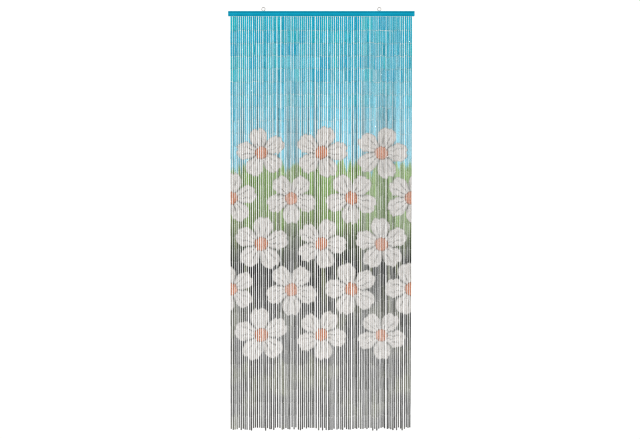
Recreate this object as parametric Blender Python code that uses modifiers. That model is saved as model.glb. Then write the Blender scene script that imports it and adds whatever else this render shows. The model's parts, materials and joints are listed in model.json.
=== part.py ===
"""A bamboo door curtain: ninety strands of beads below a painted wooden rail that hangs by two screw eyes.

Metres, +Z up. The curtain's front faces -Y and the strands stand in a row along X. The origin is
midway between the centres of the two eyes' rings, where the curtain hangs on its hooks.
"""

import math
import random
from typing import NamedTuple

import bmesh
import bpy
from mathutils import Vector

# Rail, a batten with a groove along its underside
RAIL_LENGTH = 0.900
RAIL_HEIGHT = 0.024
RAIL_DEPTH = 0.012
RAIL_EDGE_RADIUS = 0.0014
RAIL_EDGE_STEPS = 2
GROOVE_PLAY = 0.0003
STRIP_DEPTH = 0.0030
STRIP_HEIGHT = 0.0050

# Screw eyes in the rail's top edge
EYE_SPACING = 0.560
EYE_WIRE = 0.0024
EYE_RING_DIAMETER = 0.0190
EYE_SHANK_LENGTH = 0.0150
EYE_SEAT = 0.0003
EYE_HOLE_PLAY = 0.0003
EYE_BEND = 0.0016
EYE_OPEN_ANGLE = math.radians(24)
EYE_RING_STEPS = 24
EYE_BEND_STEPS = 4
EYE_HOLE_SIDES = 12
EYE_SECTION = 2  # bevel resolution: eight sides

# Strands
STRAND_COUNT = 90
STRAND_PITCH = 0.00977
BEAD_DIAMETER = 0.0065
LINK_DIAMETER = 0.0022
TOP_LINK = 0.0020
BEAD_PITCH = 0.06212
BEAD_LENGTH = 0.06052
FIRST_BEAD_EXTRA = 0.0055
BEADS_PER_STRAND = 32
NECK_TAPER = 0.0012
BODY_STEPS = 5
STRAND_SECTION = 0  # bevel resolution: four sides
ROOT_OVERLAP = 0.0025
STRIP_OVERHANG = 0.006

# How unevenly the strands hang
SEED = 11
ROOT_SPREAD = 0.0012
HEM_SPREAD = 0.0085
SWAY_X = 0.0005
SWAY_Y = 0.0010
SWAY_TURNS = 1.5
HEM_LEAN_POWER = 1.6
PARTING_REACH = 0.030
EDGE_DRAW_IN = 0.0085
EDGE_DRAW_IN_FROM = 0.240
PAIR_LEAN = 0.0011

# How far a cutter reaches past the face that it opens
CLEAR_CUT = 0.002
# Points of a curve's cap this near its side are one point
CAP_WELD = 1e-5


class Parting(NamedTuple):
    """A place where the strands stand apart a little, and how far each side is pushed away at the hem."""

    x: float
    push: float


PARTINGS = (
    Parting(x=-0.354, push=0.0021),
    Parting(x=-0.209, push=0.0018),
    Parting(x=-0.113, push=0.0014),
    Parting(x=-0.021, push=0.0021),
    Parting(x=0.071, push=0.0021),
    Parting(x=0.145, push=0.0022),
    Parting(x=0.279, push=0.0012),
    Parting(x=0.311, push=0.0017),
)

# Places where two neighbours hang towards each other at the hem
LEANING_PAIRS_X = (-0.248, 0.013, 0.385)

RING_RADIUS = (EYE_RING_DIAMETER - EYE_WIRE) / 2
RAIL_TOP = -EYE_RING_DIAMETER / 2 - EYE_SEAT
RAIL_BOTTOM = RAIL_TOP - RAIL_HEIGHT
LOWER_BEADS = (BEADS_PER_STRAND - 1) * BEAD_PITCH
STRAND_DROP = TOP_LINK + BEAD_LENGTH + FIRST_BEAD_EXTRA + LOWER_BEADS
STRIP_LENGTH = (STRAND_COUNT - 1) * STRAND_PITCH + 2 * STRIP_OVERHANG


def clear_scene():
    for old in list(bpy.data.objects):
        bpy.data.objects.remove(old, do_unlink=True)


def new_collection(name):
    collection = bpy.data.collections.new(name)
    bpy.context.scene.collection.children.link(collection)
    return collection


def new_material(name, colour, roughness, metallic=0.0):
    """A Principled material. The colour is in linear light."""
    material = bpy.data.materials.new(name)
    material.use_nodes = True
    shader = material.node_tree.nodes["Principled BSDF"]
    shader.inputs["Base Color"].default_value = (*colour, 1.0)
    shader.inputs["Roughness"].default_value = roughness
    shader.inputs["Metallic"].default_value = metallic
    return material


def move_to(obj, collection):
    for holder in list(obj.users_collection):
        holder.objects.unlink(obj)
    collection.objects.link(obj)


def add_box(name, size, centre, collection):
    """A box of this size. Its scale is in its mesh, so bevels keep their width."""
    bpy.ops.mesh.primitive_cube_add(size=1.0, location=centre)
    box = bpy.context.object
    box.name = name
    for vertex in box.data.vertices:
        vertex.co = Vector(a * b for a, b in zip(vertex.co, size))
    move_to(box, collection)
    return box


def add_wire(name, paths, thickness, bevel_resolution, collection):
    """A curve object with a round bevel: each path is a list of (point, thickness factor)."""
    curve = bpy.data.curves.new(name, "CURVE")
    curve.dimensions = "3D"
    curve.twist_mode = "MINIMUM"
    curve.bevel_depth = thickness / 2
    curve.bevel_resolution = bevel_resolution
    curve.use_fill_caps = True
    for path in paths:
        spline = curve.splines.new("POLY")
        spline.points.add(len(path) - 1)
        for target, (point, factor) in zip(spline.points, path):
            target.co = (*point, 1.0)
            target.radius = factor
    wire = bpy.data.objects.new(name, curve)
    collection.objects.link(wire)
    return wire


def as_mesh(wire, collection):
    """The curve made a mesh with its caps welded, so that a Boolean can use it."""
    bpy.context.view_layer.update()
    evaluated = wire.evaluated_get(bpy.context.evaluated_depsgraph_get())
    mesh = bpy.data.meshes.new_from_object(evaluated)
    shape = bmesh.new()
    shape.from_mesh(mesh)
    bmesh.ops.remove_doubles(shape, verts=shape.verts, dist=CAP_WELD)
    bmesh.ops.recalc_face_normals(shape, faces=shape.faces)
    shape.to_mesh(mesh)
    shape.free()
    solid = bpy.data.objects.new(wire.name + "_mesh", mesh)
    solid.matrix_world = wire.matrix_world
    bpy.data.objects.remove(wire, do_unlink=True)
    collection.objects.link(solid)
    return solid


def make_tool(obj):
    """Hides an object that only cuts or joins another."""
    obj.hide_render = True
    obj.display_type = "WIRE"


def add_boolean(target, other, operation):
    boolean = target.modifiers.new(other.name, "BOOLEAN")
    boolean.operation = operation
    boolean.solver = "EXACT"
    boolean.object = other


def even_places():
    """The strands' places along the rail before any unevenness, from left to right."""
    first = -(STRAND_COUNT - 1) * STRAND_PITCH / 2
    return [first + index * STRAND_PITCH for index in range(STRAND_COUNT)]


def nearest(values, wanted):
    return min(range(len(values)), key=lambda index: abs(values[index] - wanted))


def pair_leans(places):
    """Strand index to its lean at the hem, for the neighbours that hang towards each other."""
    leans = {}
    for x in LEANING_PAIRS_X:
        left = nearest(places, x)
        leans[left] = PAIR_LEAN
        leans[left + 1] = -PAIR_LEAN
    return leans


def shared_lean(x):
    """How far a strand rooted at x hangs to one side at the hem, by what it shares with its neighbours."""
    lean = 0.0
    for parting in PARTINGS:
        away = x - parting.x
        lean += math.copysign(parting.push, away) * math.exp(-abs(away) / PARTING_REACH)
    inward = (x - EDGE_DRAW_IN_FROM) / (RAIL_LENGTH / 2 - EDGE_DRAW_IN_FROM)
    return lean - EDGE_DRAW_IN * max(0.0, inward) ** 2


def strand_path(place_x, pair_lean, chance):
    """One strand from its head in the backing strip down to the hem: (point, thickness factor) pairs."""
    thin = LINK_DIAMETER / BEAD_DIAMETER
    lean = shared_lean(place_x) + pair_lean
    free = 0.0 if pair_lean else 1.0
    root_x = place_x + free * chance.uniform(-ROOT_SPREAD, ROOT_SPREAD)
    sway_x = free * chance.uniform(-SWAY_X, SWAY_X)
    sway_y = chance.uniform(-SWAY_Y, SWAY_Y)
    phase = chance.uniform(0, math.tau)
    drop = STRAND_DROP + chance.uniform(-HEM_SPREAD, HEM_SPREAD)
    path = [
        (Vector((root_x, 0, RAIL_BOTTOM + GROOVE_PLAY + ROOT_OVERLAP)), thin),
        (Vector((root_x, 0, RAIL_BOTTOM - TOP_LINK)), thin),
    ]
    body_top = TOP_LINK + NECK_TAPER
    for step in range(BODY_STEPS + 1):
        depth = body_top + (drop - body_top) * step / BODY_STEPS
        share = depth / STRAND_DROP
        wave = math.sin(SWAY_TURNS * math.tau * share + phase)
        x = root_x + lean * share**HEM_LEAN_POWER + sway_x * wave * share
        path.append((Vector((x, sway_y * wave * share, RAIL_BOTTOM - depth)), 1.0))
    return path


def build_strands(parts, tools, material):
    """All the strands, fused at their heads into the strip that lies in the rail's groove."""
    chance = random.Random(SEED)
    places = even_places()
    leans = pair_leans(places)
    paths = [
        strand_path(x, leans.get(index, 0.0), chance) for index, x in enumerate(places)
    ]
    strings = add_wire("strand_strings", paths, BEAD_DIAMETER, STRAND_SECTION, tools)
    strings = as_mesh(strings, tools)
    make_tool(strings)
    centre_z = RAIL_BOTTOM + GROOVE_PLAY + STRIP_HEIGHT / 2
    strip_size = (STRIP_LENGTH, STRIP_DEPTH, STRIP_HEIGHT)
    strands = add_box("strands", strip_size, (0, 0, centre_z), parts)
    add_boolean(strands, strings, "UNION")
    strands.data.materials.append(material)


def eye_path():
    """A screw eye in its own XZ plane, from the shank's tip round the ring to its open end."""
    low = -RING_RADIUS
    tip = low - EYE_WIRE / 2 - EYE_SEAT - EYE_SHANK_LENGTH
    points = [Vector((0, 0, tip)), Vector((0, 0, (tip + low) / 2))]
    start_angle = EYE_BEND / RING_RADIUS
    bend_from = Vector((0, 0, low - EYE_BEND))
    corner = Vector((0, 0, low))
    ring_from = ring_point(start_angle)
    for step in range(EYE_BEND_STEPS):
        t = step / EYE_BEND_STEPS
        points.append(
            (1 - t) ** 2 * bend_from + 2 * t * (1 - t) * corner + t**2 * ring_from
        )
    last_angle = math.tau - EYE_OPEN_ANGLE
    for step in range(EYE_RING_STEPS + 1):
        angle = start_angle + (last_angle - start_angle) * step / EYE_RING_STEPS
        points.append(ring_point(angle))
    return [(point, 1.0) for point in points]


def ring_point(angle):
    """A point on the ring, by its angle from the lowest point towards +X."""
    return Vector((RING_RADIUS * math.sin(angle), 0, -RING_RADIUS * math.cos(angle)))


class Eye(NamedTuple):
    """A screw eye: its name, its side of the rail and how far it is turned about its shank."""

    name: str
    side: int
    turn: float


EYES = (
    Eye(name="screw_eye_left", side=-1, turn=math.radians(5)),
    Eye(name="screw_eye_right", side=1, turn=math.radians(-13)),
)


def build_eyes(parts, material):
    for eye in EYES:
        ring = add_wire(eye.name, [eye_path()], EYE_WIRE, EYE_SECTION, parts)
        ring.location.x = eye.side * EYE_SPACING / 2
        ring.rotation_euler.z = eye.turn
        ring.data.materials.append(material)


def cut_groove(rail, tools):
    height = GROOVE_PLAY + STRIP_HEIGHT + GROOVE_PLAY
    size = (
        STRIP_LENGTH + 2 * GROOVE_PLAY,
        STRIP_DEPTH + 2 * GROOVE_PLAY,
        height + CLEAR_CUT,
    )
    centre_z = RAIL_BOTTOM + (height - CLEAR_CUT) / 2
    groove = add_box("groove_cutter", size, (0, 0, centre_z), tools)
    make_tool(groove)
    add_boolean(rail, groove, "DIFFERENCE")


def cut_eye_holes(rail, tools):
    depth = EYE_SHANK_LENGTH + EYE_HOLE_PLAY
    length = depth + CLEAR_CUT
    for eye in EYES:
        centre = (eye.side * EYE_SPACING / 2, 0, RAIL_TOP - depth + length / 2)
        bpy.ops.mesh.primitive_cylinder_add(
            vertices=EYE_HOLE_SIDES,
            radius=EYE_WIRE / 2 + EYE_HOLE_PLAY,
            depth=length,
            location=centre,
        )
        cutter = bpy.context.object
        cutter.name = eye.name + "_hole_cutter"
        move_to(cutter, tools)
        make_tool(cutter)
        add_boolean(rail, cutter, "DIFFERENCE")


def build_rail(parts, tools, material):
    size = (RAIL_LENGTH, RAIL_DEPTH, RAIL_HEIGHT)
    centre = (0, 0, (RAIL_TOP + RAIL_BOTTOM) / 2)
    rail = add_box("rail", size, centre, parts)
    bevel = rail.modifiers.new("rounded edges", "BEVEL")
    bevel.width = RAIL_EDGE_RADIUS
    bevel.segments = RAIL_EDGE_STEPS
    bevel.limit_method = "ANGLE"
    cut_groove(rail, tools)
    cut_eye_holes(rail, tools)
    rail.data.materials.append(material)


def main():
    clear_scene()
    parts = new_collection("bamboo door curtain")
    tools = new_collection("cutters")
    paint = new_material("turquoise paint", (0.005, 0.352, 0.533), 0.45)
    bamboo = new_material("painted bamboo", (0.44, 0.56, 0.60), 0.55)
    steel = new_material("zinc plated wire", (0.42, 0.40, 0.37), 0.35, metallic=1.0)
    build_rail(parts, tools, paint)
    build_strands(parts, tools, bamboo)
    build_eyes(parts, steel)


main()
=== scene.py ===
"""The looks of the bamboo door curtain: its beads, wire links, paint and light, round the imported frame.

Metres, +Z up. The curtain's front faces -Y, and the origin is midway between its two screw eyes.
"""

import json
import math
import random
from typing import NamedTuple

import bmesh
import bpy
from mathutils import Matrix, Vector

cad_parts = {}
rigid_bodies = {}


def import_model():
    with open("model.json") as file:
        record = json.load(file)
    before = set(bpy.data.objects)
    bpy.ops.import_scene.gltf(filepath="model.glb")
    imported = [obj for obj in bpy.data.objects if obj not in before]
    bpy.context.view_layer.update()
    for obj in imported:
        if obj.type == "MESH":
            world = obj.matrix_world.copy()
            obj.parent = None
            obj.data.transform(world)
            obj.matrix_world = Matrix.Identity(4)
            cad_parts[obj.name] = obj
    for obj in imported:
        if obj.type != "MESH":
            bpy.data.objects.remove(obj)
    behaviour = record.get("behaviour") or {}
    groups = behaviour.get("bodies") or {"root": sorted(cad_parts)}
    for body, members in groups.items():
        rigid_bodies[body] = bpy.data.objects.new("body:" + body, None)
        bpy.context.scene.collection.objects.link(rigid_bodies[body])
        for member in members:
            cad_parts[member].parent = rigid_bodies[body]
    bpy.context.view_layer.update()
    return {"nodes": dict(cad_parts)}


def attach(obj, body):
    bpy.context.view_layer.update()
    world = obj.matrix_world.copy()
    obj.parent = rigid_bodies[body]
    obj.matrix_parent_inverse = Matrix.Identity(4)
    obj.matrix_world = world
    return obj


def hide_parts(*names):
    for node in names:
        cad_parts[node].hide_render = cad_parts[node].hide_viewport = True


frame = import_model()

# The photograph's frame and where the rail stands in it, in its own pixels
PHOTO_WIDTH = 640
PHOTO_HEIGHT = 439
PHOTO_PIXELS_PER_METRE = 207.0
PHOTO_RAIL_CENTRE_X = 321.35
PHOTO_RAIL_TOP_Y = 11.2
CAMERA_DISTANCE = 9.0
SENSOR_WIDTH = 36.0

# A strand and its gap are two pixels wide together. Light mixes them paler than the eye reads them,
# so the view has more contrast and a slightly softer pixel than usual.
VIEW_CONTRAST = 1.55
PIXEL_FILTER = 1.35

# Studio
FLOOR_Z = -2.35
FLOOR_RADIUS = 3.0
FLOOR_FORWARD = 0.9
FLOOR_FADES_FROM = 0.7
ROOM_GLOW = 0.315
BACKDROP_GLOW = 1.06
LAMP_SIZE = (3.0, 4.0)
LAMPS_AIM = Vector((0, 0, -1.0))


class Lamp(NamedTuple):
    """A large soft lamp: where it stands, its power in watts and its tint."""

    name: str
    place: tuple
    power: float
    tint: tuple


LAMPS = (
    Lamp(name="key", place=(-3.2, -6.0, 1.2), power=366, tint=(1.0, 0.99, 0.97)),
    Lamp(name="fill", place=(3.4, -5.5, -0.6), power=226, tint=(0.97, 0.985, 1.0)),
    Lamp(name="back", place=(2.4, 5.8, 0.6), power=340, tint=(1.0, 1.0, 1.0)),
    Lamp(name="back fill", place=(-3.0, 5.5, -0.4), power=195, tint=(1.0, 1.0, 1.0)),
)

# Rail and the strip in its groove
RAIL_LENGTH = 0.900
RAIL_HEIGHT = 0.024
RAIL_DEPTH = 0.012
GROOVE_PLAY = 0.0003
STRIP_DEPTH = 0.0030
STRIP_HEIGHT = 0.0050

# Screw eyes
EYE_SPACING = 0.560
EYE_WIRE = 0.0024
EYE_RING_DIAMETER = 0.0190
EYE_SHANK_LENGTH = 0.0150
EYE_SEAT = 0.0003
EYE_BEND = 0.0016
EYE_OPEN_ANGLE = math.radians(24)

# Strands, as in the frame
STRAND_COUNT = 90
STRAND_PITCH = 0.00977
BEAD_DIAMETER = 0.0065
TOP_LINK = 0.0020
BEAD_PITCH = 0.06212
BEAD_LENGTH = 0.06052
FIRST_BEAD_EXTRA = 0.0055
BEADS_PER_STRAND = 32
STRIP_OVERHANG = 0.006
SEED = 11
ROOT_SPREAD = 0.0012
HEM_SPREAD = 0.0085
SWAY_X = 0.0005
SWAY_Y = 0.0010
SWAY_TURNS = 1.5
HEM_LEAN_POWER = 1.6
PARTING_REACH = 0.030
EDGE_DRAW_IN = 0.0085
EDGE_DRAW_IN_FROM = 0.240
PAIR_LEAN = 0.0011
LEANING_PAIRS_X = (-0.248, 0.013, 0.385)

RING_RADIUS = (EYE_RING_DIAMETER - EYE_WIRE) / 2
RAIL_TOP = -EYE_RING_DIAMETER / 2 - EYE_SEAT
RAIL_BOTTOM = RAIL_TOP - RAIL_HEIGHT
LOWER_BEADS = (BEADS_PER_STRAND - 1) * BEAD_PITCH
STRAND_DROP = TOP_LINK + BEAD_LENGTH + FIRST_BEAD_EXTRA + LOWER_BEADS
STRIP_LENGTH = (STRAND_COUNT - 1) * STRAND_PITCH + 2 * STRIP_OVERHANG
MM = 0.001


class Parting(NamedTuple):
    """A place where the strands stand apart a little, and how far each side is pushed away at the hem."""

    x: float
    push: float


PARTINGS = (
    Parting(x=-0.354, push=0.0021),
    Parting(x=-0.209, push=0.0018),
    Parting(x=-0.113, push=0.0014),
    Parting(x=-0.021, push=0.0021),
    Parting(x=0.071, push=0.0021),
    Parting(x=0.145, push=0.0022),
    Parting(x=0.279, push=0.0012),
    Parting(x=0.311, push=0.0017),
)

# Beads and links
BEAD_SIDES = 8
BORE_RADIUS = 0.0015
BORE_DEPTH = 0.004
RIM_ROUND = 0.0005
LENGTH_SPREAD = 0.0024
GIRTH_AT_RAIL = 1.21
GIRTH_AT_HEM = 0.85
GIRTH_POWER = 1.15
GIRTH_SPREAD = 0.025
GIRTH_OF_ROOM = 0.96
JOINT_PLAY = 0.00022
WIDEST_GAP = 0.0024
WIDEST_GAP_BELOW = 0.0006
NARROWEST_GAP = 0.0003
ROWS_PULLED_OPEN = 10
LAST_JOINT_SLACK = 0.35
# Neighbours that share most of their chance: for a joint's gap, a bead's tone and its tint in the sky
GAP_BLOCK, TONE_BLOCK, HUE_BLOCK = 4, 3, 5
BLOCK_SHARE = 0.6
BLOCK_OFFSETS = 7
LINK_WIRE = 0.0008
LINK_HALF_WIDTH = 0.0010
LINK_NECK = -0.0010
LINK_TAIL = 0.0030
LINK_SIDES = 4
LINK_TURNS = 7
LINK_START_ANGLE = math.radians(18)
LINK_OPEN_ANGLE = math.radians(22)
BEAD_GROUPS = 10
BEAD_CELLS = (27, 11)
LINK_GROUPS = 3
LINK_CELLS = (32, 60)


class BeadForm(NamedTuple):
    """One cut of bamboo: its taper to the head, sideways bow, ovalness and the place of a knot, if any."""

    name: str
    taper: float
    bow: float
    oval: float
    knot: float


NO_KNOT = -1.0
BEAD_FORMS = (
    BeadForm(name="a_straight", taper=0.02, bow=0.10, oval=0.02, knot=NO_KNOT),
    BeadForm(name="b_tapered", taper=0.09, bow=0.20, oval=0.03, knot=NO_KNOT),
    BeadForm(name="c_bowed", taper=0.03, bow=0.50, oval=0.04, knot=NO_KNOT),
    BeadForm(name="d_oval", taper=0.04, bow=0.15, oval=0.09, knot=NO_KNOT),
    BeadForm(name="e_narrowed", taper=-0.08, bow=0.30, oval=0.02, knot=NO_KNOT),
    BeadForm(name="f_knotted", taper=0.03, bow=0.25, oval=0.03, knot=0.68),
)


# Where each strand hangs, worked out as in the frame


def even_places():
    first = -(STRAND_COUNT - 1) * STRAND_PITCH / 2
    return [first + index * STRAND_PITCH for index in range(STRAND_COUNT)]


def pair_leans(places):
    leans = {}
    for x in LEANING_PAIRS_X:
        left = min(range(len(places)), key=lambda index: abs(places[index] - x))
        leans[left] = PAIR_LEAN
        leans[left + 1] = -PAIR_LEAN
    return leans


def shared_lean(x):
    lean = 0.0
    for parting in PARTINGS:
        away = x - parting.x
        lean += math.copysign(parting.push, away) * math.exp(-abs(away) / PARTING_REACH)
    inward = (x - EDGE_DRAW_IN_FROM) / (RAIL_LENGTH / 2 - EDGE_DRAW_IN_FROM)
    return lean - EDGE_DRAW_IN * max(0.0, inward) ** 2


class Strand:
    """One strand's line, drawn with the frame's own chances, in the same order."""

    def __init__(self, place_x, pair_lean, chance):
        free = 0.0 if pair_lean else 1.0
        self.lean = shared_lean(place_x) + pair_lean
        self.root_x = place_x + free * chance.uniform(-ROOT_SPREAD, ROOT_SPREAD)
        self.sway_x = free * chance.uniform(-SWAY_X, SWAY_X)
        self.sway_y = chance.uniform(-SWAY_Y, SWAY_Y)
        self.phase = chance.uniform(0, math.tau)
        self.drop = STRAND_DROP + chance.uniform(-HEM_SPREAD, HEM_SPREAD)

    def at(self, depth):
        share = depth / STRAND_DROP
        wave = math.sin(SWAY_TURNS * math.tau * share + self.phase)
        x = self.root_x + self.lean * share**HEM_LEAN_POWER + self.sway_x * wave * share
        return Vector((x, self.sway_y * wave * share, RAIL_BOTTOM - depth))


def all_strands():
    chance = random.Random(SEED)
    places = even_places()
    leans = pair_leans(places)
    return [Strand(x, leans.get(index, 0.0), chance) for index, x in enumerate(places)]


class Bead(NamedTuple):
    """One bead's place: its ends, its strand and row, and its chances."""

    head: Vector
    foot: Vector
    strand: int
    row: int
    girth: float
    spin: float


def steady_chance(*values):
    """A chance from 0 to 1 that stays the same for these values."""
    return random.Random(repr(values)).random()


def block_chance(strand, row, what, width):
    """A chance that a block of neighbours in a row of beads share, with a little of the bead's own."""
    block = (strand + int(BLOCK_OFFSETS * steady_chance(what, "offset", row))) // width
    shared = steady_chance(what, "block", row, block)
    own = steady_chance(what, "own", row, strand)
    return BLOCK_SHARE * shared + (1 - BLOCK_SHARE) * own


def gap_below(strand, row):
    """The gap under a bead. The upper joints are pulled open, and the last one has looser loops."""
    slack = min(1.0, row / ROWS_PULLED_OPEN)
    if row == BEADS_PER_STRAND - 2:
        slack = LAST_JOINT_SLACK
    widest = WIDEST_GAP + (WIDEST_GAP_BELOW - WIDEST_GAP) * slack
    openness = block_chance(strand, row, "gap", GAP_BLOCK) ** 2
    return NARROWEST_GAP + (widest - NARROWEST_GAP) * openness


def room_beside(strand, neighbours, depth):
    """How stout a bead may be here before it meets the next strand, in plain beads' thickness."""
    x = strand.at(depth).x
    return min(abs(other.at(depth).x - x) for other in neighbours) / BEAD_DIAMETER


def string_beads(strands, index, chance):
    """One strand's beads from the rail down, thicker ones first. Lengths differ, so rows drift apart."""
    strand = strands[index]
    neighbours = strands[max(index - 1, 0) : index] + strands[index + 1 : index + 2]
    gaps = [gap_below(index, row) for row in range(BEADS_PER_STRAND)]
    lengths = [
        BEAD_PITCH - gap + chance.uniform(-LENGTH_SPREAD, LENGTH_SPREAD) for gap in gaps
    ]
    lengths[0] += FIRST_BEAD_EXTRA
    spare = strand.drop - TOP_LINK - sum(lengths) - sum(gaps[:-1])
    beads = []
    depth = TOP_LINK
    for row, length in enumerate(lengths):
        length += spare / BEADS_PER_STRAND
        play = [
            Vector((chance.uniform(-1, 1), chance.uniform(-1, 1), 0)) for _ in range(2)
        ]
        head = strand.at(depth) + play[0] * JOINT_PLAY
        foot = strand.at(depth + length) + play[1] * JOINT_PLAY
        fallen = (row / BEADS_PER_STRAND) ** GIRTH_POWER
        girth = GIRTH_AT_RAIL + (GIRTH_AT_HEM - GIRTH_AT_RAIL) * fallen
        girth += chance.uniform(-GIRTH_SPREAD, GIRTH_SPREAD)
        girth = min(girth, GIRTH_OF_ROOM * room_beside(strand, neighbours, depth))
        beads.append(Bead(head, foot, index, row, girth, chance.uniform(0, math.tau)))
        depth += length + gaps[row]
    return beads


# Meshes that repeat


def new_shape():
    shape = bmesh.new()
    shape.loops.layers.uv.new("surface_uv")
    shape.loops.layers.uv.new("cell_uv")
    return shape


def add_face(shape, corners):
    """A face on these (vertex, surface uv, cell uv) corners."""
    face = shape.faces.new([vertex for vertex, _, _ in corners])
    surface = shape.loops.layers.uv["surface_uv"]
    cell = shape.loops.layers.uv["cell_uv"]
    for loop, (_, place, spot) in zip(face.loops, corners):
        loop[surface].uv = place
        loop[cell].uv = spot


def add_ring(shape, lower, upper):
    """Faces between two loops of corners. Each loop ends with its first corner again."""
    for index in range(len(lower) - 1):
        add_face(shape, [lower[index], lower[index + 1], upper[index + 1], upper[index]])


def finish_shape(shape, name, collection, sharp_from):
    mesh = bpy.data.meshes.new(name)
    shape.to_mesh(mesh)
    shape.free()
    mesh.shade_smooth()
    mesh.set_sharp_from_angle(angle=sharp_from)
    piece = bpy.data.objects.new(name, mesh)
    collection.objects.link(piece)
    return piece


# Where a bead's wall and its two ends lie in its cell of the bake's map
WALL_LEFT, WALL_RIGHT = 0.05, 0.95
WALL_LOW, WALL_HIGH = 0.20, 0.98
END_SPOTS = ((0.25, 0.09), (0.75, 0.09))
END_SPREAD = (0.17, 0.07)
END_UV_DEPTH = -0.020


def bead_rings(form):
    """(height, radius, bow) of each ring round a bead, from foot to head."""
    half = BEAD_LENGTH / 2
    radius = BEAD_DIAMETER / 2
    swell = {-half: 0.90, -half + RIM_ROUND: 1.0, half - RIM_ROUND: 1.0, half: 0.90}
    if form.knot > 0:
        knot = -half + form.knot * BEAD_LENGTH
        swell.update({knot - 1.6 * MM: 1.0, knot: 1.10, knot + 1.4 * MM: 1.0})
    else:
        swell.update({-half / 3: 1.0, half / 3: 1.0})
    rings = []
    for height, factor in sorted(swell.items()):
        share = height / half
        width = radius * factor * (1 - form.taper * share / 2)
        rings.append((height, width, form.bow * MM * (1 - share**2)))
    return rings


def build_bead(form, collection):
    """A short bamboo tube with round rims and an open bore at each end."""
    shape = new_shape()
    rings = bead_rings(form)
    turns = [math.tau * side / BEAD_SIDES for side in range(BEAD_SIDES)]

    def circle(height, radius, bow):
        wide, deep = radius * (1 + form.oval), radius * (1 - form.oval)
        return [
            shape.verts.new((bow + wide * math.cos(t), deep * math.sin(t), height))
            for t in turns
        ]

    def wall_corner(loop, side, height):
        share = side / BEAD_SIDES
        up = height / BEAD_LENGTH + 0.5
        place = (share * math.pi * BEAD_DIAMETER, up * BEAD_LENGTH)
        u = WALL_LEFT + share * (WALL_RIGHT - WALL_LEFT)
        v = WALL_LOW + up * (WALL_HIGH - WALL_LOW)
        return loop[side % BEAD_SIDES], place, (u, v)

    def end_corner(loop, side, spread, spot):
        turn = turns[side % BEAD_SIDES]
        across, up = math.cos(turn) * spread, math.sin(turn) * spread
        place = (across * BEAD_DIAMETER / 2, END_UV_DEPTH + up * BEAD_DIAMETER / 2)
        cell = (spot[0] + across * END_SPREAD[0], spot[1] + up * END_SPREAD[1])
        return loop[side % BEAD_SIDES], place, cell

    circles = [circle(*ring) for ring in rings]
    walls = [
        [wall_corner(loop, side, height) for side in range(BEAD_SIDES + 1)]
        for loop, (height, _, _) in zip(circles, rings)
    ]
    for lower, upper in zip(walls, walls[1:]):
        add_ring(shape, lower, upper)
    for end, spot in ((0, END_SPOTS[0]), (-1, END_SPOTS[1])):
        height, _, bow = rings[end]
        into = BORE_DEPTH if end == 0 else -BORE_DEPTH
        # The circles from the rim into the bore, and how wide each is drawn in the map
        steps = (
            (circles[end], 1.0),
            (circle(height + into * 0.03, BORE_RADIUS, bow), 0.45),
            (circle(height + into, BORE_RADIUS * 0.9, bow), 0.20),
        )
        loops = [
            [end_corner(loop, side, spread, spot) for side in range(BEAD_SIDES + 1)]
            for loop, spread in steps
        ]
        for outer, inner in zip(loops, loops[1:]):
            add_ring(shape, *((outer, inner) if end else (inner, outer)))
        bottom = loops[-1][:-1]
        add_face(shape, bottom if end else bottom[::-1])
    return finish_shape(shape, "bead_" + form.name, collection, sharp_from=math.radians(50))


def sweep(shape, path, radii, sides, deep):
    """A round wire along a path in the XZ plane, whose cell of the map it fills from end to end."""
    loops, lengths = [], [0.0]
    for index, point in enumerate(path):
        before, after = path[max(index - 1, 0)], path[min(index + 1, len(path) - 1)]
        along = (after - before).normalized()
        aside = Vector((along.z, 0, -along.x))
        loop = []
        for side in range(sides):
            turn = math.tau * (side + 0.5) / sides
            offset = aside * math.cos(turn) + Vector((0, 1, 0)) * math.sin(turn)
            loop.append(shape.verts.new(point + offset * radii[index]))
        loops.append(loop)
        if index:
            lengths.append(lengths[-1] + (point - path[index - 1]).length)

    def corner(index, side):
        share = lengths[index] / lengths[-1]
        place = (side / sides * deep, lengths[index])
        return loops[index][side % sides], place, (0.08 + 0.84 * share, 0.15 + 0.7 * side / sides)

    def cap_corner(index, side):
        turn = math.tau * side / sides
        u = (0.03 if index == 0 else 0.97) + 0.02 * math.cos(turn)
        place = (side / sides * deep, lengths[index])
        return loops[index][side], place, (u, 0.5 + 0.2 * math.sin(turn))

    rounds = [[corner(index, side) for side in range(sides + 1)] for index in range(len(path))]
    for lower, upper in zip(rounds, rounds[1:]):
        add_ring(shape, lower, upper)
    for index in (0, len(path) - 1):
        corners = [cap_corner(index, side) for side in range(sides)]
        add_face(shape, corners if index else corners[::-1])
    bmesh.ops.recalc_face_normals(shape, faces=shape.faces)


def build_link(name, reach, collection):
    """A wire loop at a bead's end, in its XZ plane: out of the bore, round, and closed on its own neck."""
    tall = (reach - LINK_NECK - LINK_WIRE / 2) / 2
    centre = LINK_NECK + tall
    path = [Vector((0, 0, -LINK_TAIL)), Vector((0, 0, LINK_NECK - LINK_WIRE / 3))]
    last = math.tau - LINK_OPEN_ANGLE
    for step in range(LINK_TURNS + 1):
        turn = LINK_START_ANGLE + (last - LINK_START_ANGLE) * step / LINK_TURNS
        x, z = LINK_HALF_WIDTH * math.sin(turn), centre - tall * math.cos(turn)
        path.append(Vector((x, 0, z)))
    shape = new_shape()
    sweep(shape, path, [LINK_WIRE / 2] * len(path), LINK_SIDES, math.pi * LINK_WIRE)
    return finish_shape(shape, name, collection, sharp_from=math.radians(95))


# Nodes


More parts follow.
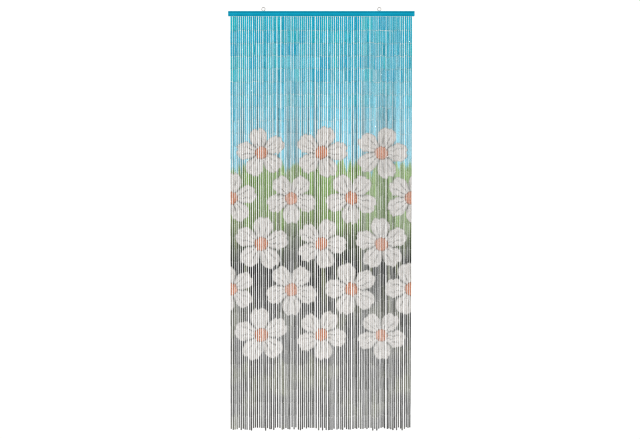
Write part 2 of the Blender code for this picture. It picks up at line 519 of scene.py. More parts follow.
class Board:
    """Puts nodes in one tree and joins them."""

    def __init__(self, tree):
        self.tree = tree

    def node(self, kind, **settings):
        made = self.tree.nodes.new(kind)
        for name, value in settings.items():
            setattr(made, name, value)
        return made

    def feed(self, socket, value):
        """Joins a socket to this one, or sets its value."""
        if isinstance(value, bpy.types.NodeSocket):
            self.tree.links.new(value, socket)
        elif isinstance(value, tuple) and socket.type == "RGBA" and len(value) == 3:
            socket.default_value = (*value, 1.0)
        else:
            socket.default_value = value

    def fill(self, made, **values):
        """Feeds a node's inputs by their names."""
        for label, value in values.items():
            self.feed(made.inputs[label.replace("_", " ").title()], value)
        return made.outputs

    def fill_in_order(self, made, *values):
        for socket, value in zip(made.inputs, values):
            self.feed(socket, value)
        return made.outputs[0]

    def math(self, operation, *values):
        return self.fill_in_order(self.node("ShaderNodeMath", operation=operation), *values)

    def times(self, first, second):
        return self.math("MULTIPLY", first, second)

    def over(self, first, second):
        return self.math("DIVIDE", first, second)

    def plus(self, first, second):
        return self.math("ADD", first, second)

    def minus(self, first, second):
        return self.math("SUBTRACT", first, second)

    def smaller(self, first, second):
        return self.math("MINIMUM", first, second)

    def larger(self, first, second):
        return self.math("MAXIMUM", first, second)

    def join(self, x, y, z=0.0):
        return self.fill_in_order(self.node("ShaderNodeCombineXYZ"), x, y, z)

    def split(self, vector):
        return self.fill(self.node("ShaderNodeSeparateXYZ"), vector=vector)

    def noise(self, vector, scale, detail=2.0, roughness=0.5):
        made = self.node("ShaderNodeTexNoise")
        return self.fill(made, vector=vector, scale=scale, detail=detail, roughness=roughness)[0]

    def steady(self, vector):
        """A chance from 0 to 1 that is the same all over a cell: whole numbers in."""
        return self.fill(self.node("ShaderNodeTexWhiteNoise"), vector=vector)["Value"]

    def remap(self, value, low, high, to_low=0.0, to_high=1.0, smooth=False):
        made = self.node("ShaderNodeMapRange")
        if smooth:
            made.interpolation_type = "SMOOTHSTEP"
        return self.fill_in_order(made, value, low, high, to_low, to_high)

    def mix(self, kind, factor, first, second, mode="MIX"):
        """Mixes numbers, places or colours. The node has two inputs and one output for each kind."""
        made = self.node("ShaderNodeMix", data_type=kind, blend_type=mode)
        number = ("FLOAT", "VECTOR", "RGBA").index(kind)
        for index, value in ((0, factor), (2 + 2 * number, first), (3 + 2 * number, second)):
            self.feed(made.inputs[index], value)
        return made.outputs[number]

    def blend(self, factor, first, second):
        return self.mix("RGBA", factor, first, second)

    def toned(self, colour, tone):
        return self.mix("RGBA", 1.0, colour, self.join(tone, tone, tone), "MULTIPLY")

    def between(self, factor, first, second):
        return self.mix("FLOAT", factor, first, second)

    def ramp(self, value, stops):
        """A colour ramp on (place, colour) stops."""
        made = self.node("ShaderNodeValToRGB")
        elements = made.color_ramp.elements
        while len(elements) < len(stops):
            elements.new(0.5)
        for element, (place, colour) in zip(elements, stops):
            element.position = place
            element.color = (*colour, 1.0)
        self.feed(made.inputs[0], value)
        return made.outputs[0]

    def group(self, tree, **values):
        kind = self.tree.bl_idname.replace("Tree", "Group")
        return self.fill(self.node(kind, node_tree=tree), **values)

    def object_place(self):
        return self.node("ShaderNodeTexCoord").outputs["Object"]

    def surface_place(self):
        """Metres round and along a bead or a wire."""
        return self.node("ShaderNodeUVMap", uv_map="surface_uv").outputs["UV"]


def new_group(name, kind, inputs, outputs):
    """A node group: (name, socket type, default) for each input, (name, socket type) for each output."""
    tree = bpy.data.node_groups.new(name, kind)
    for label, socket_type, default in inputs:
        socket = tree.interface.new_socket(label, in_out="INPUT", socket_type=socket_type)
        if default is not None:
            socket.default_value = default
    for label, socket_type in outputs:
        tree.interface.new_socket(label, in_out="OUTPUT", socket_type=socket_type)
    board = Board(tree)
    return tree, board, board.node("NodeGroupInput").outputs, board.node("NodeGroupOutput").inputs


def paint(red, green, blue):
    """A colour in linear light from the value that the eye sees, 0 to 255."""
    return tuple(
        part / 12.92 if part <= 0.04045 else ((part + 0.055) / 1.055) ** 2.4
        for part in (red / 255, green / 255, blue / 255)
    )


# Stringing shapes on points


def stringing_tree():
    """Sets a shape on every point, turned and sized by its attributes, with its own cell of the map."""
    tree, board, given, made = new_group(
        "string the shapes",
        "GeometryNodeTree",
        [
            ("Points", "NodeSocketGeometry", None),
            ("Shapes", "NodeSocketCollection", None),
            ("Shape Count", "NodeSocketInt", 1),
            ("Material", "NodeSocketMaterial", None),
            ("Cells Across", "NodeSocketInt", 1),
            ("Cells Up", "NodeSocketInt", 1),
            ("Seed", "NodeSocketInt", SEED),
        ],
        [("Geometry", "NodeSocketGeometry")],
    )

    def attribute(name, kind):
        found = board.node("GeometryNodeInputNamedAttribute", data_type=kind)
        return board.fill(found, name=name)["Attribute"]

    turn = board.node("FunctionNodeEulerToRotation")
    board.fill(turn, euler=attribute("turn", "FLOAT_VECTOR"))
    shapes = board.node("GeometryNodeCollectionInfo", transform_space="ORIGINAL")
    board.fill(shapes, collection=given["Shapes"], separate_children=True, reset_children=True)
    pick = board.node("FunctionNodeRandomValue", data_type="INT")
    low, high = [socket for socket in pick.inputs if socket.type == "INT"][:2]
    low.default_value = 0
    board.feed(high, board.minus(given["Shape Count"], 1))
    board.fill(pick, seed=given["Seed"])
    picked = [socket for socket in pick.outputs if socket.type == "INT"][0]

    placed = board.fill(
        board.node("GeometryNodeInstanceOnPoints"),
        points=given["Points"],
        instance=shapes.outputs[0],
        pick_instance=True,
        instance_index=picked,
        rotation=turn.outputs["Rotation"],
        scale=attribute("size", "FLOAT_VECTOR"),
    )
    solid = board.node("GeometryNodeRealizeInstances")
    board.fill(solid, geometry=placed["Instances"])

    cell = attribute("cell", "INT")
    across, up = given["Cells Across"], given["Cells Up"]
    column = board.math("MODULO", cell, across)
    row = board.math("FLOOR", board.over(cell, across))
    spot = board.split(attribute("cell_uv", "FLOAT_VECTOR"))
    u = board.over(board.plus(spot[0], column), across)
    v = board.over(board.plus(spot[1], row), up)
    store = board.node("GeometryNodeStoreNamedAttribute", data_type="FLOAT2", domain="CORNER")
    board.fill(store, geometry=solid.outputs["Geometry"], name="OFBake", value=board.join(u, v))
    cover = board.node("GeometryNodeSetMaterial")
    board.fill(cover, geometry=store.outputs["Geometry"], material=given["Material"])
    board.feed(made["Geometry"], cover.outputs["Geometry"])
    return tree


class Spot(NamedTuple):
    """A point to string a shape on."""

    place: Vector
    turn: tuple
    size: tuple
    tint: float
    shift: float
    hue: float = 0.5


def strung(name, spots, shapes, material, tree, cells, holder):
    """A plain mesh piece of the shapes strung on these spots."""
    mesh = bpy.data.meshes.new(name + "_points")
    mesh.from_pydata([spot.place for spot in spots], [], [])
    columns = (
        ("turn", "FLOAT_VECTOR", "vector", [part for s in spots for part in s.turn]),
        ("size", "FLOAT_VECTOR", "vector", [part for s in spots for part in s.size]),
        ("tint", "FLOAT", "value", [spot.tint for spot in spots]),
        ("shift", "FLOAT", "value", [spot.shift for spot in spots]),
        ("hue", "FLOAT", "value", [spot.hue for spot in spots]),
        ("cell", "INT", "value", list(range(len(spots)))),
    )
    for label, kind, field, values in columns:
        mesh.attributes.new(label, kind, "POINT").data.foreach_set(field, values)
    points = bpy.data.objects.new(name + "_points", mesh)
    holder.objects.link(points)
    modifier = points.modifiers.new("strings", "NODES")
    modifier.node_group = tree
    values = {
        "Shapes": shapes,
        "Shape Count": len(shapes.objects),
        "Material": material,
        "Cells Across": cells[0],
        "Cells Up": cells[1],
        "Seed": SEED,
    }
    for item in tree.interface.items_tree:
        if item.in_out == "INPUT" and item.name in values:
            modifier[item.identifier] = values[item.name]
    bpy.context.view_layer.update()
    graph = bpy.context.evaluated_depsgraph_get()
    result = bpy.data.meshes.new_from_object(points.evaluated_get(graph), depsgraph=graph)
    bpy.data.objects.remove(points, do_unlink=True)
    for label in ("turn", "size", "cell", "cell_uv"):
        if label in result.attributes:
            result.attributes.remove(result.attributes[label])
    result.name = name
    result.materials.clear()
    result.materials.append(material)
    result.uv_layers["surface_uv"].active_render = True
    piece = bpy.data.objects.new(name, result)
    holder.objects.link(piece)
    return piece


def turned(axis, spin):
    """Euler angles that turn +Z to this axis, after a spin about it."""
    aside = Vector((1, 0, 0))
    x = (aside - axis * aside.dot(axis)).normalized()
    frame_of_axis = Matrix((x, axis.cross(x), axis)).transposed()
    return tuple((frame_of_axis @ Matrix.Rotation(spin, 3, "Z")).to_euler())


def bead_spot(bead):
    along = bead.head - bead.foot
    size = (bead.girth, bead.girth, along.length / BEAD_LENGTH)
    shift = 2 * steady_chance("shift", bead.strand) - 1
    turn = turned(along.normalized(), bead.spin)
    middle = (bead.head + bead.foot) / 2
    tint = block_chance(bead.strand, bead.row, "tint", TONE_BLOCK)
    hue = block_chance(bead.strand, bead.row, "hue", HUE_BLOCK)
    return Spot(middle, turn, size, tint, shift, hue)


def loop_size(gap):
    """A loop's size, so that it and its like from the other side just hook each other across this gap."""
    return (1, 1, (gap + 2 * LINK_WIRE) / (WIDEST_GAP + 2 * LINK_WIRE))


def link_spots(beads, chance):
    """The loops of one strand: the staple out of the rail and its loop, then a pair at each joint."""
    first = beads[0]
    root = Vector((first.head.x, 0, RAIL_BOTTOM + GROOVE_PLAY))
    up = (first.head - first.foot).normalized()
    size = loop_size(TOP_LINK + GROOVE_PLAY)
    spots = [
        Spot(root, turned(Vector((0, 0, -1)), 0.0), size, 0.5, 0.0),
        Spot(first.head, turned(up, math.pi / 2), size, 0.5, 0.0),
    ]
    for upper, lower in zip(beads, beads[1:]):
        base = chance.uniform(0, math.pi)
        down = (upper.foot - upper.head).normalized()
        up = (lower.head - lower.foot).normalized()
        tone = chance.random()
        size = loop_size(gap_below(upper.strand, upper.row))
        spots.append(Spot(upper.foot, turned(down, base), size, tone, 0.0))
        spots.append(Spot(lower.head, turned(up, base + math.pi / 2), size, tone, 0.0))
    return spots


# The picture painted on the strands: rows of round blossoms on a ground of sky, grass, dark and leaves

BLOSSOM_ROWS = 3
FIRST_ROW_DEPTH = 0.66
BLOSSOM_STEP_X = 0.290
BLOSSOM_STEP_DOWN = 0.440
BLOSSOM_RADIUS = 0.128
BLOSSOM_SPREAD = 0.08
STRAND_SHIFT = 0.004
GROUND_DEPTH = 2.0

# The ground's colour by its share of the depth
GROUND_STOPS = (
    (0.000, paint(48, 177, 195)),
    (0.120, paint(100, 180, 194)),
    (0.200, paint(116, 180, 194)),
    (0.290, paint(132, 180, 192)),
    (0.352, paint(138, 181, 192)),
    (0.364, paint(138, 160, 114)),
    (0.400, paint(132, 155, 106)),
    (0.500, paint(124, 144, 99)),
    (0.545, paint(82, 92, 68)),
    (0.590, paint(48, 50, 47)),
    (0.660, paint(78, 79, 76)),
    (0.760, paint(97, 97, 96)),
    (1.000, paint(104, 104, 103)),
)


def lattice(board, x, depth, first_x, first_depth, rows):
    """How far a point is from the nearest blossom of this lattice, and that blossom's own number."""
    columns = board.over(board.minus(x, first_x), BLOSSOM_STEP_X)
    column = board.math("ROUND", columns)
    across = board.times(board.minus(columns, column), BLOSSOM_STEP_X)
    lines = board.over(board.minus(depth, first_depth), BLOSSOM_STEP_DOWN)
    line = board.smaller(board.math("ROUND", lines), rows - 1.0)
    line = board.larger(line, 0.0)
    down = board.times(board.minus(lines, line), BLOSSOM_STEP_DOWN)
    number = board.join(column, line, first_x * 10)
    return across, down, number


def length_of(board, across, down):
    squares = board.plus(board.times(across, across), board.times(down, down))
    return board.math("SQRT", squares)


def blossom_tree():
    """A round flower of five broad petals. Places are in metres from its centre."""
    tree, board, given, made = new_group(
        "blossom",
        "ShaderNodeTree",
        [
            ("Across", "NodeSocketFloat", 0.0),
            ("Down", "NodeSocketFloat", 0.0),
            ("Chance", "NodeSocketFloat", 0.5),
        ],
        [
            ("Petal", "NodeSocketFloat"),
            ("Heart", "NodeSocketFloat"),
            ("Petal Colour", "NodeSocketColor"),
            ("Heart Colour", "NodeSocketColor"),
        ],
    )
    across, down, chance = given["Across"], given["Down"], given["Chance"]
    angle = board.math("ARCTAN2", down, across)
    angle = board.plus(angle, board.times(chance, math.tau))
    spread = board.remap(chance, 0.0, 1.0, 1 - BLOSSOM_SPREAD, 1 + BLOSSOM_SPREAD)
    radius = board.times(spread, BLOSSOM_RADIUS)
    reach = board.over(length_of(board, across, down), radius)
    wave = board.math("ABSOLUTE", board.math("COSINE", board.times(angle, 2.5)))
    lobe = board.times(board.math("POWER", wave, 0.5), 0.62)
    notch = board.times(board.math("POWER", wave, 60.0), 0.07)
    edge = board.minus(board.plus(lobe, 0.38), notch)
    inside = board.minus(edge, reach)
    board.feed(made["Petal"], board.remap(inside, -0.01, 0.02, smooth=True))

    grain = board.noise(board.join(across, down, chance), 90.0, 3.0)
    heart_edge = board.plus(board.times(grain, 0.06), 0.22)
    board.feed(made["Heart"], board.remap(board.minus(heart_edge, reach), -0.015, 0.015))
    veins = board.math("ABSOLUTE", board.math("SINE", board.times(angle, 7.5)))
    veins = board.math("POWER", veins, 20.0)
    strokes = board.noise(board.join(across, down, chance), 34.0, 2.0)
    veins = board.times(veins, board.remap(strokes, 0.40, 0.60, 0.45, 1.0))
    veins = board.times(veins, board.remap(reach, 0.45, 0.95, 0.85, 0.0))
    seam = board.math("POWER", board.minus(1.0, wave), 5.0)
    rim = board.remap(inside, 0.0, 0.05, 0.65, 0.0)
    shade = board.larger(board.larger(veins, seam), rim)
    petal = board.blend(shade, paint(193, 190, 187), paint(102, 102, 97))
    board.feed(made["Petal Colour"], petal)
    speckle = board.noise(board.join(across, down, chance), 260.0, 2.0)
    heart = board.blend(
        board.remap(speckle, 0.40, 0.62), paint(198, 154, 132), paint(176, 130, 106)
    )
    ring = board.remap(board.minus(heart_edge, reach), 0.045, 0.005, smooth=True)
    heart = board.blend(board.times(ring, 0.75), heart, paint(118, 88, 74))
    board.feed(made["Heart Colour"], heart)
    return tree


def picture_tree():
    """The colour of the painted picture at a place on the curtain."""
    tree, board, given, made = new_group(
        "curtain picture",
        "ShaderNodeTree",
        [("Place", "NodeSocketVector", None), ("Shift", "NodeSocketFloat", 0.0)],
        [
            ("Colour", "NodeSocketColor"),
            ("Sky", "NodeSocketFloat"),
            ("Flower", "NodeSocketFloat"),
        ],
    )
    place = board.split(given["Place"])
    x = place[0]
    depth = board.minus(RAIL_BOTTOM, place[2])
    depth = board.plus(depth, board.times(given["Shift"], STRAND_SHIFT))

    hills = board.noise(board.join(x, 0.0, 0.3), 6.0, 2.0)
    hills = board.remap(hills, 0.3, 0.7, -0.035, 0.035)
    blades = board.noise(board.join(board.times(x, 60.0), board.times(depth, 3.5), 2.0), 1.0, 2.0)
    tall = board.remap(blades, 0.35, 0.65, -0.05, 0.05)
    low_down = board.remap(depth, 0.60, 0.80)
    ground_depth = board.plus(depth, board.times(board.plus(hills, tall), low_down))
    ground = board.ramp(board.over(ground_depth, GROUND_DEPTH), GROUND_STOPS)
    grass = board.times(board.remap(blades, 0.52, 0.66), board.remap(depth, 0.8, 1.2))
    grass = board.times(grass, board.remap(depth, 1.1, 1.5, 0.75, 0.12))
    ground = board.blend(grass, ground, paint(140, 146, 108))
    leaves = board.noise(board.join(board.times(x, 8.0), board.times(depth, 6.0), 5.0), 1.0, 3.0)
    leaves = board.remap(leaves, 0.50, 0.64, 0.0, 0.4)
    leaves = board.times(leaves, board.remap(depth, 1.2, 1.5))
    ground = board.blend(leaves, ground, paint(156, 158, 138))

    first = lattice(board, x, depth, 0.0, FIRST_ROW_DEPTH, BLOSSOM_ROWS)
    second_depth = FIRST_ROW_DEPTH + BLOSSOM_STEP_DOWN / 2
    second = lattice(board, x, depth, BLOSSOM_STEP_X / 2, second_depth, BLOSSOM_ROWS - 1)
    nearer = board.math("LESS_THAN", length_of(board, *second[:2]), length_of(board, *first[:2]))
    across = board.between(nearer, first[0], second[0])
    down = board.between(nearer, first[1], second[1])
    chance = board.steady(board.mix("VECTOR", nearer, first[2], second[2]))
    flower = board.group(blossom_tree(), across=across, down=down, chance=chance)
    colour = board.blend(flower["Petal"], ground, flower["Petal Colour"])
    heart = board.times(flower["Heart"], flower["Petal"])
    colour = board.blend(heart, colour, flower["Heart Colour"])
    board.feed(made["Colour"], colour)
    board.feed(made["Flower"], flower["Petal"])
    board.feed(made["Sky"], board.remap(depth, 0.25, 0.55, 1.0, 0.0))
    return tree


# Effects that several finishes share


def grain_tree():
    """Streaks, such as fibres and drawing marks: a pattern that is drawn out along each axis."""
    tree, board, given, made = new_group(
        "streaked grain",
        "ShaderNodeTree",
        [
            ("Place", "NodeSocketVector", None),
            ("Stretch", "NodeSocketVector", (1, 1, 1)),
            ("Scale", "NodeSocketFloat", 1.0),
            ("Detail", "NodeSocketFloat", 2.0),
            ("Roughness", "NodeSocketFloat", 0.5),
        ],
        [("Grain", "NodeSocketFloat")],
    )
    stretched = board.node("ShaderNodeVectorMath", operation="MULTIPLY")
    place = board.fill_in_order(stretched, given["Place"], given["Stretch"])
    grain = board.noise(place, given["Scale"], given["Detail"], given["Roughness"])
    board.feed(made["Grain"], grain)
    return tree


def wear_tree():
    """Where a coat is worn off near an edge. All inputs are in metres."""
    tree, board, given, made = new_group(
        "worn edge",
        "ShaderNodeTree",
        [
            ("To Edge", "NodeSocketFloat", 0.0),
            ("Raggedness", "NodeSocketFloat", 0.0),
            ("Bare Within", "NodeSocketFloat", 0.0006),
            ("Whole Beyond", "NodeSocketFloat", 0.0010),
        ],
        [("Worn", "NodeSocketFloat")],
    )
    border = board.plus(given["To Edge"], given["Raggedness"])
    board.feed(made["Worn"], board.remap(border, given["Whole Beyond"], given["Bare Within"]))
    return tree


class Effects(NamedTuple):
    """The shared node groups."""

    picture: bpy.types.NodeTree
    grain: bpy.types.NodeTree
    wear: bpy.types.NodeTree


# Materials


def new_material(name):
    material = bpy.data.materials.new(name)
    material.use_nodes = True
    board = Board(material.node_tree)
    return material, board, material.node_tree.nodes["Principled BSDF"].inputs


def bump(board, shader, height, strength, distance):
    made = board.node("ShaderNodeBump")
    board.fill(made, strength=strength, distance=distance, height=height)
    board.feed(shader["Normal"], made.outputs["Normal"])


def attribute_value(board, name):
    return board.node("ShaderNodeAttribute", attribute_name=name).outputs["Fac"]


def bamboo_material(effects):
    """Matt coloured coating on bamboo: fibres along each bead, worn rims and raw cut ends."""
    material, board, shader = new_material("painted_bamboo")
    around, along, _ = board.split(board.surface_place())
    tint, shift = attribute_value(board, "tint"), attribute_value(board, "shift")
    painted = board.group(effects.picture, place=board.object_place(), shift=shift)

    def grain(**values):
        """Each bead's own grain, for its tint takes it to another layer of the pattern."""
        place = board.join(around, along, tint)
        return board.group(effects.grain, place=place, detail=3.0, **values)["Grain"]

    fibre = grain(stretch=(1500.0, 26.0, 37.0), roughness=0.6)
    blotch = grain(stretch=(1500.0, 160.0, 37.0), scale=0.25)

    sky = painted["Sky"]
    own_tone = board.remap(tint, 0.0, 1.0, 0.89, 1.08)
    ground_tone = board.remap(shift, -1.0, 1.0, 0.58, 1.34)
    petal_tone = board.remap(shift, -1.0, 1.0, 0.93, 1.05)
    tone = board.between(painted["Flower"], ground_tone, petal_tone)
    tone = board.between(sky, tone, own_tone)
    tone = board.times(tone, board.remap(fibre, 0.3, 0.7, 0.86, 1.10))
    tone = board.times(tone, board.remap(blotch, 0.3, 0.7, 0.95, 1.04))
    coat = board.toned(painted["Colour"], tone)
    hue = attribute_value(board, "hue")
    deeper = board.times(sky, board.remap(hue, 0.55, 0.85, 0.0, 0.55))
    coat = board.blend(deeper, coat, paint(4, 160, 186))
    greener = board.times(sky, board.remap(hue, 0.40, 0.10, 0.0, 0.5))
    coat = board.blend(greener, coat, paint(44, 184, 186))

    raw = board.blend(fibre, paint(222, 206, 172), paint(184, 158, 116))
    cut = board.math("LESS_THAN", along, END_UV_DEPTH / 4)
    rim = board.group(
        effects.wear,
        to_edge=board.smaller(along, board.minus(BEAD_LENGTH, along)),
        raggedness=board.times(blotch, 0.0016),
        bare_within=0.0006,
        whole_beyond=0.0011,
    )["Worn"]
    rim = board.times(rim, board.remap(sky, 0.0, 1.0, 0.18, 0.55))
    scratch = board.remap(fibre, 0.70, 0.76, 0.0, 0.35)
    bare = board.larger(board.larger(cut, rim), scratch)
    board.feed(shader["Base Color"], board.blend(bare, coat, raw))
    board.feed(shader["Roughness"], board.remap(fibre, 0.2, 0.8, 0.72, 0.52))
    shader["Specular IOR Level"].default_value = 0.20
    bump(board, shader, fibre, 0.35, 0.00025)
    return material


def wire_material(name, effects, caught_paint=False):
    """Dull zinc plating with tarnish and drawing marks. The links also caught some of the paint."""
    material, board, shader = new_material(name)
    place = board.object_place()
    marks = board.group(effects.grain, place=board.surface_place(), stretch=(9000.0, 150.0, 1.0))
    drawn = marks["Grain"]
    tarnish = board.noise(place, 420.0, 4.0, 0.6)
    colour = board.ramp(
        tarnish,
        (
            (0.30, paint(118, 110, 102)),
            (0.48, paint(172, 166, 158)),
            (0.70, paint(208, 205, 199)),
        ),
    )
    streaks = board.remap(drawn, 0.3, 0.7, 0.88, 1.06)
    colour = board.toned(colour, streaks)
    if caught_paint:
        painted = board.group(effects.picture, place=place)["Colour"]
        caught = board.remap(board.noise(place, 900.0), 0.35, 0.60, 0.45, 0.95)
        colour = board.blend(caught, colour, painted)
        board.feed(shader["Metallic"], board.remap(caught, 0.0, 1.0, 0.85, 0.0))
    else:
        shader["Metallic"].default_value = 0.85
    board.feed(shader["Base Color"], colour)
    board.feed(shader["Roughness"], board.remap(tarnish, 0.3, 0.7, 0.66, 0.48))
    bump(board, shader, drawn, 0.25, 0.00008)
    return material


def rail_material(effects):
    """Satin turquoise paint brushed along a wooden batten, thin at its edges, with a few bare nicks. Along
    its length it also carries a band of painted highlight and, nearer its top, a band of painted shade.
    """
    material, board, shader = new_material("rail_paint")
    place = board.object_place()
    x, y, z = board.split(place)

    def grain(**values):
        return board.group(effects.grain, place=place, **values)["Grain"]

    strokes = grain(stretch=(9.0, 900.0, 900.0), detail=3.0, roughness=0.6)
    patches = board.noise(place, 22.0, 3.0)
    colour = board.blend(board.remap(strokes, 0.3, 0.7), paint(12, 146, 168), paint(22, 162, 182))
    colour = board.blend(board.remap(patches, 0.45, 0.75, 0.0, 0.3), colour, paint(58, 172, 196))
    below_top = board.minus(RAIL_TOP, z)

    def band(opens, full, closes, shut):
        """A band along the rail between these depths below its top edge, with soft borders."""
        upper = board.remap(below_top, opens, full, smooth=True)
        return board.times(upper, board.remap(below_top, shut, closes, smooth=True))

    # Painted highlight: a lighter band along the rail below its middle, put into the paint's colour
    shine = band(0.0075, 0.0095, 0.0125, 0.0150)
    colour = board.blend(board.times(shine, 0.45), colour, paint(28, 170, 192))
    # Painted shade: a darker band along the rail just below its top edge, put into the paint's colour
    painted_shade_band = band(0.0020, 0.0040, 0.0070, 0.0090)
    colour = board.blend(board.times(painted_shade_band, 0.6), colour, paint(12, 130, 150))

    # Metres to the nearer end, to the front or back, and to the top or underside
    across_z = board.minus(below_top, RAIL_HEIGHT / 2)
    to_end, to_face, to_side = (
        board.minus(reach, board.math("ABSOLUTE", across))
        for across, reach in (
            (x, RAIL_LENGTH / 2),
            (y, RAIL_DEPTH / 2),
            (across_z, RAIL_HEIGHT / 2),
        )
    )
    to_long_edge = board.larger(to_face, to_side)
    to_end_edge = board.larger(to_end, board.smaller(to_face, to_side))
    nicks = board.minus(0.72, board.noise(place, 340.0, 2.0))
    worn = board.group(
        effects.wear,
        to_edge=board.smaller(to_long_edge, to_end_edge),
        raggedness=board.times(nicks, 0.012),
        bare_within=0.0006,
        whole_beyond=0.0010,
    )["Worn"]
    fibres = grain(stretch=(30.0, 1400.0, 1400.0))
    wood = board.blend(fibres, paint(206, 184, 150), paint(174, 148, 112))
    board.feed(shader["Base Color"], board.blend(worn, colour, wood))
    board.feed(shader["Roughness"], board.remap(strokes, 0.3, 0.7, 0.50, 0.36))
    shader["Specular IOR Level"].default_value = 0.12
    height = board.minus(strokes, board.times(worn, 0.8))
    bump(board, shader, height, 0.3, 0.0002)
    return material


# Pieces of their own


def ring_point(angle):
    """A point on a screw eye's ring, by its angle from the lowest point towards +X."""
    return Vector((RING_RADIUS * math.sin(angle), 0, -RING_RADIUS * math.cos(angle)))


class Eye(NamedTuple):
    """A screw eye: its node, its side of the rail and how far it is turned about its shank."""

    node: str
    side: int
    turn: float


EYES = (
    Eye(node="screw_eye_left", side=-1, turn=math.radians(5)),
    Eye(node="screw_eye_right", side=1, turn=math.radians(-13)),
)
EYE_SIDES = 16
EYE_BEND_STEPS = 8
EYE_RING_STEPS = 60
EYE_THREAD_PITCH = 0.0011
EYE_THREAD_STEPS = 6
EYE_THREAD_DEPTH = 0.00016
EYE_PLAIN_NECK = 0.004


def build_eye(eye, material, holder):
    """A smooth wire ring on a shank with a rolled thread, and a filed open end."""
    low = -RING_RADIUS
    tip = low - EYE_WIRE / 2 - EYE_SEAT - EYE_SHANK_LENGTH
    path, radii = [], []
    thread_top = low - EYE_WIRE / 2 - EYE_SEAT - EYE_PLAIN_NECK
    steps = round((thread_top - tip) / EYE_THREAD_PITCH * EYE_THREAD_STEPS)
    for step in range(steps + 1):
        share = step / steps
        path.append(Vector((0, 0, tip + (thread_top - tip) * share)))
        ridge = 0.5 - 0.5 * math.cos(math.tau * step / EYE_THREAD_STEPS)
        point = min(1.0, 0.35 + share * 4)
        radii.append((EYE_WIRE / 2 - EYE_THREAD_DEPTH * ridge) * point)
    start = EYE_BEND / RING_RADIUS
    bend_from, corner = Vector((0, 0, low - EYE_BEND)), Vector((0, 0, low))
    ring_from = ring_point(start)
    for step in range(EYE_BEND_STEPS):
        t = step / EYE_BEND_STEPS
        path.append((1 - t) ** 2 * bend_from + 2 * t * (1 - t) * corner + t**2 * ring_from)
        radii.append(EYE_WIRE / 2)
    last = math.tau - EYE_OPEN_ANGLE
    for step in range(EYE_RING_STEPS + 1):
        path.append(ring_point(start + (last - start) * step / EYE_RING_STEPS))
        radii.append(EYE_WIRE / 2)
    radii[-1] *= 0.8
    shape = new_shape()
    sweep(shape, path, radii, EYE_SIDES, math.pi * EYE_WIRE)
    place = Matrix.Translation((eye.side * EYE_SPACING / 2, 0, 0)) @ Matrix.Rotation(eye.turn, 4, "Z")
    bmesh.ops.transform(shape, matrix=place, verts=shape.verts)
    piece = finish_shape(shape, eye.node + "_wire", holder, sharp_from=math.radians(40))
    piece.data.uv_layers.remove(piece.data.uv_layers["cell_uv"])
    piece.data.materials.append(material)
    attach(piece, "root")
    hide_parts(eye.node)


def build_head_strip(material, holder):
    """The strip in the rail's groove that holds the staples, with rounded edges."""
    shape = bmesh.new()
    bmesh.ops.create_cube(shape, size=1.0)
    half = Vector((STRIP_LENGTH, STRIP_DEPTH, STRIP_HEIGHT))
    centre = Vector((0, 0, RAIL_BOTTOM + GROOVE_PLAY + STRIP_HEIGHT / 2))
    for vertex in shape.verts:
        vertex.co = centre + Vector(a * b for a, b in zip(vertex.co, half))
    bmesh.ops.bevel(
        shape, geom=list(shape.edges), offset=0.0004, segments=2, affect="EDGES", profile=0.5
    )
    piece = finish_shape(shape, "head_strip", holder, sharp_from=math.radians(40))
    piece.data.materials.append(material)
    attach(piece, "root")
    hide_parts("strands")


def build_strands(bamboo, wire, holder):
    """All beads and links, in pieces of neighbouring strands."""
    library = bpy.data.collections.new("bead_shapes")
    for form in BEAD_FORMS:
        build_bead(form, library)
    loops = bpy.data.collections.new("link_shapes")
    build_link("link_loop", (WIDEST_GAP + 2 * LINK_WIRE) / 2, loops)
    tree = stringing_tree()
    chance = random.Random(SEED + 1)
    strands = all_strands()
    strung_beads = [string_beads(strands, index, chance) for index in range(STRAND_COUNT)]

    def add_piece(name, spots, shapes, material, cells):
        piece = strung(name, spots, shapes, material, tree, cells, holder)
        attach(piece, "root")
        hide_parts("strands")

    per_group = STRAND_COUNT // BEAD_GROUPS
    for group in range(BEAD_GROUPS):
        members = strung_beads[group * per_group : (group + 1) * per_group]
        spots = [bead_spot(bead) for beads in members for bead in beads]
        add_piece(f"beads_{group:02d}", spots, library, bamboo, BEAD_CELLS)
    per_group = STRAND_COUNT // LINK_GROUPS
    for group in range(LINK_GROUPS):
        members = strung_beads[group * per_group : (group + 1) * per_group]
        spots = [spot for beads in members for spot in link_spots(beads, chance)]
        add_piece(f"links_{group:02d}", spots, loops, wire, LINK_CELLS)
    for shapes in (library, loops):
        for template in list(shapes.objects):
            bpy.data.objects.remove(template, do_unlink=True)
        bpy.data.collections.remove(shapes)


# Light and camera


def add_lamp(lamp):
    light = bpy.data.lights.new(lamp.name, "AREA")
    light.shape = "RECTANGLE"
    light.size, light.size_y = LAMP_SIZE
    light.energy = lamp.power
    light.color = lamp.tint
    stand = bpy.data.objects.new(lamp.name, light)
    stand.location = lamp.place
    stand.rotation_euler = (LAMPS_AIM - Vector(lamp.place)).to_track_quat("-Z", "Y").to_euler()
    stand.visible_camera = False
    bpy.context.scene.collection.objects.link(stand)


def set_light():
    """A plain white room, seen brighter than it lights, with the lamps before and behind the curtain."""
    world = bpy.data.worlds.new("studio")
    bpy.context.scene.world = world
    world.use_nodes = True
    board = Board(world.node_tree)
    room = board.fill(world.node_tree.nodes["Background"], color=(1, 1, 1), strength=ROOM_GLOW)
    seen = board.fill(board.node("ShaderNodeBackground"), color=(1, 1, 1), strength=BACKDROP_GLOW)
    for_camera = board.node("ShaderNodeLightPath").outputs["Is Camera Ray"]
    both = board.fill_in_order(board.node("ShaderNodeMixShader"), for_camera, room[0], seen[0])
    board.feed(world.node_tree.nodes["World Output"].inputs["Surface"], both)
    for lamp in LAMPS:
        add_lamp(lamp)


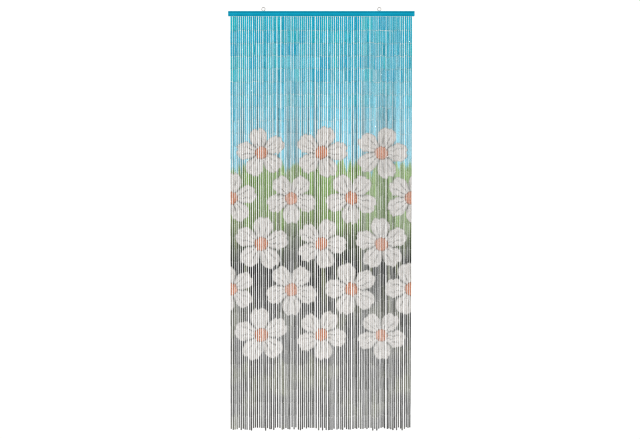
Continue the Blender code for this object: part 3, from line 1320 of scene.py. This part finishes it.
def lay_floor():
    """A pale round studio floor below the hem, which fades out towards its rim and is open from below."""
    shape = bmesh.new()
    bmesh.ops.create_circle(shape, cap_ends=True, segments=64, radius=FLOOR_RADIUS)
    bmesh.ops.translate(shape, vec=(0, -FLOOR_FORWARD, FLOOR_Z), verts=shape.verts)
    mesh = bpy.data.meshes.new("studio_floor")
    shape.to_mesh(mesh)
    shape.free()
    material, board, shader = new_material("studio_floor")
    place = board.object_place()
    colour = board.blend(board.noise(place, 2.5, 3.0), paint(243, 243, 241), paint(246, 246, 244))
    board.feed(shader["Base Color"], colour)
    shader["Roughness"].default_value = 0.9
    shader["Specular IOR Level"].default_value = 0.1
    spot = board.split(place)
    away = length_of(board, spot[0], board.plus(spot[1], FLOOR_FORWARD))
    solid = board.remap(away, FLOOR_FADES_FROM, FLOOR_RADIUS, 1.0, 0.0, smooth=True)
    from_above = board.minus(1.0, board.node("ShaderNodeNewGeometry").outputs["Backfacing"])
    board.feed(shader["Alpha"], board.times(solid, from_above))
    mesh.materials.append(material)
    floor = bpy.data.objects.new("studio_floor", mesh)
    bpy.context.scene.collection.objects.link(floor)


def set_camera():
    """The camera looks level at the curtain, which it frames as the photograph does."""
    middle_x = (PHOTO_WIDTH / 2 - PHOTO_RAIL_CENTRE_X) / PHOTO_PIXELS_PER_METRE
    middle_z = RAIL_TOP - (PHOTO_HEIGHT / 2 - PHOTO_RAIL_TOP_Y) / PHOTO_PIXELS_PER_METRE
    data = bpy.data.cameras.new("camera")
    data.sensor_width = SENSOR_WIDTH
    focal_pixels = PHOTO_PIXELS_PER_METRE * CAMERA_DISTANCE
    data.lens = focal_pixels * SENSOR_WIDTH / PHOTO_WIDTH
    camera = bpy.data.objects.new("camera", data)
    camera.location = (middle_x, -CAMERA_DISTANCE, middle_z)
    camera.rotation_euler = (math.radians(90), 0, 0)
    bpy.context.scene.collection.objects.link(camera)
    bpy.context.scene.camera = camera


def main():
    holder = bpy.data.collections.new("curtain")
    bpy.context.scene.collection.children.link(holder)
    effects = Effects(picture=picture_tree(), grain=grain_tree(), wear=wear_tree())
    wire, rail = wire_material("zinc_wire", effects), rail_material(effects)
    painted_wire = wire_material("painted_wire", effects, caught_paint=True)
    build_strands(bamboo_material(effects), painted_wire, holder)
    build_head_strip(rail, holder)
    for eye in EYES:
        build_eye(eye, wire, holder)
    for slot in frame["nodes"]["rail"].material_slots:
        slot.link = "OBJECT"
        slot.material = rail
    lay_floor()
    set_light()
    set_camera()
    view = bpy.context.scene.view_settings
    view.view_transform = "Standard"
    view.gamma = 1 / VIEW_CONTRAST
    bpy.context.scene.cycles.filter_width = PIXEL_FILTER


main()
